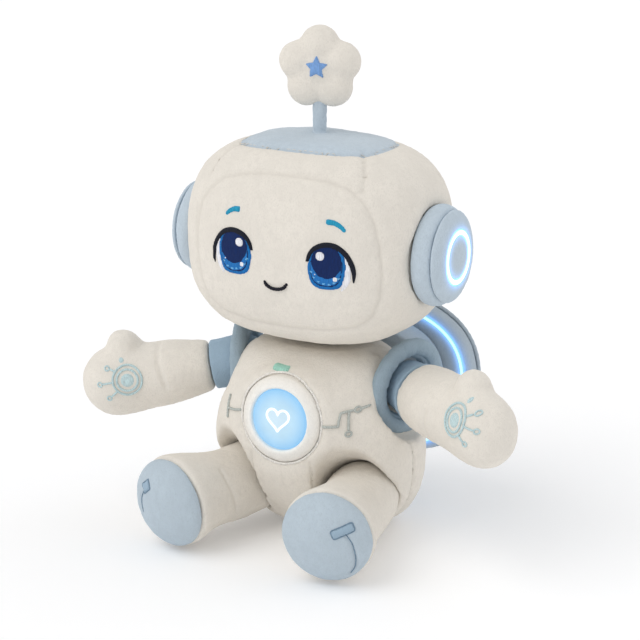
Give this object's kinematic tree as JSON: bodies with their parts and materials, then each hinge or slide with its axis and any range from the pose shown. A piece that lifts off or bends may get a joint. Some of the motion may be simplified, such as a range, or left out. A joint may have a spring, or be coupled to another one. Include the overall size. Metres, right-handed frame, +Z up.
{
  "type": "seated plush robot",
  "caption": "Seated stuffed robot toy with posable head, arms and legs, a soft flower antenna, a glowing heart button in the chest, lit ear rings and a lit back pack.",
  "frame": {"origin": "on the surface that the robot sits on, straight below the axis of the neck; the point lies on the flat seat panel", "axes": "+Z up, the robot faces -Y, its left side is +X"},
  "size_m": [0.2909, 0.1852, 0.3008],
  "materials": {
    "cream_plush": "short cream plush pile",
    "blue_plush": "short grey-blue plush pile",
    "light": "milky translucent light guide, lit",
    "heart": "milky diffuser, lit",
    "star_embroidery": "satin embroidery thread",
    "joint_nylon": "natural nylon",
    "grey_plastic": "moulded, lightly textured",
    "black_plastic": "moulded, lightly textured",
    "circuit_board": "solder resist",
    "cell_wrap": "plain shrink wrap",
    "screw_steel": "plated"
  },
  "bodies": {
    "torso": {"torso_front": "cream_plush", "torso_back": "cream_plush", "seat_panel": "cream_plush", "chest_bezel": "cream_plush", "chest_light_board": "circuit_board", "chest_switch": "black_plastic", "left_shoulder_ring": "blue_plush", "right_shoulder_ring": "blue_plush", "left_shoulder_cup": "grey_plastic", "right_shoulder_cup": "grey_plastic", "hip_axle": "joint_nylon", "neck_washer": "joint_nylon", "pack_rim": "blue_plush", "pack_shell": "blue_plush", "pack_plinth": "blue_plush", "pack_light_strip": "light", "battery_box": "black_plastic", "battery_cell_1": "cell_wrap", "battery_cell_2": "cell_wrap", "battery_cell_3": "cell_wrap", "battery_cover": "grey_plastic", "battery_cover_screw": "screw_steel", "control_board": "circuit_board", "speaker": "black_plastic"},
    "head": {"head_gusset": "cream_plush", "head_back": "cream_plush", "face_panel": "cream_plush", "crown_patch": "blue_plush", "neck_joint": "joint_nylon", "left_ear_band": "blue_plush", "left_ear_cap": "blue_plush", "left_ear_light": "light", "left_ear_board": "circuit_board", "right_ear_band": "blue_plush", "right_ear_cap": "blue_plush", "right_ear_light": "light", "right_ear_board": "circuit_board", "antenna_socket": "grey_plastic"},
    "antenna": {"antenna_stem": "blue_plush", "antenna_flower": "cream_plush", "antenna_star": "star_embroidery"},
    "left_shoulder_ball": {"left_shoulder_ball": "joint_nylon"},
    "right_shoulder_ball": {"right_shoulder_ball": "joint_nylon"},
    "left_arm": {"left_sleeve": "blue_plush", "left_forearm": "cream_plush", "left_arm_stud": "joint_nylon"},
    "right_arm": {"right_sleeve": "blue_plush", "right_forearm": "cream_plush", "right_arm_stud": "joint_nylon"},
    "left_leg": {"left_leg": "cream_plush", "left_foot_pad": "blue_plush"},
    "right_leg": {"right_leg": "cream_plush", "right_foot_pad": "blue_plush"},
    "chest_light": {"chest_lens": "light", "chest_heart": "heart"},
    "power_switch": {"power_switch": "black_plastic"}
  },
  "joints": [
    {"name": "head_turn", "type": "hinge", "parent": "torso", "child": "head", "pos_m": [0, 0, 0.12], "axis": [0, 0, 1], "range_deg": [-45, 45]},
    {"name": "antenna_bend", "type": "hinge", "parent": "head", "child": "antenna", "pos_m": [0, 0, 0.236], "axis": [1, 0, 0], "range_deg": [-20, 20], "stiffness_Nm_per_rad": 0.15},
    {"name": "left_arm_swing", "type": "hinge", "parent": "torso", "child": "left_shoulder_ball", "pos_m": [0.057, 0.006, 0.0925], "axis": [0, 0, -1], "range_deg": [-25, 10]},
    {"name": "left_arm_raise", "type": "hinge", "parent": "left_shoulder_ball", "child": "left_arm", "pos_m": [0.057, 0.006, 0.0925], "axis": [-0.5446, -0.8387, 0], "range_deg": [-15, 12]},
    {"name": "right_arm_swing", "type": "hinge", "parent": "torso", "child": "right_shoulder_ball", "pos_m": [-0.057, 0.006, 0.0925], "axis": [0, 0, 1], "range_deg": [-25, 10]},
    {"name": "right_arm_raise", "type": "hinge", "parent": "right_shoulder_ball", "child": "right_arm", "pos_m": [-0.057, 0.006, 0.0925], "axis": [-0.454, 0.891, 0], "range_deg": [-15, 12]},
    {"name": "left_leg_swing", "type": "hinge", "parent": "torso", "child": "left_leg", "pos_m": [0.039, -0.02, 0.0336], "axis": [-1, 0, 0], "range_deg": [-30, 3]},
    {"name": "right_leg_swing", "type": "hinge", "parent": "torso", "child": "right_leg", "pos_m": [-0.038, -0.02, 0.0336], "axis": [-1, 0, 0], "range_deg": [-30, 3]},
    {"name": "chest_light_press", "type": "slide", "parent": "torso", "child": "chest_light", "axis": [0, 0.9976, -0.0698], "range_m": [0, 0.002], "stiffness_N_per_m": 400},
    {"name": "power_switch_slide", "type": "slide", "parent": "torso", "child": "power_switch", "axis": [1, 0, 0], "range_m": [-0.0016, 0.0016]}
  ]
}
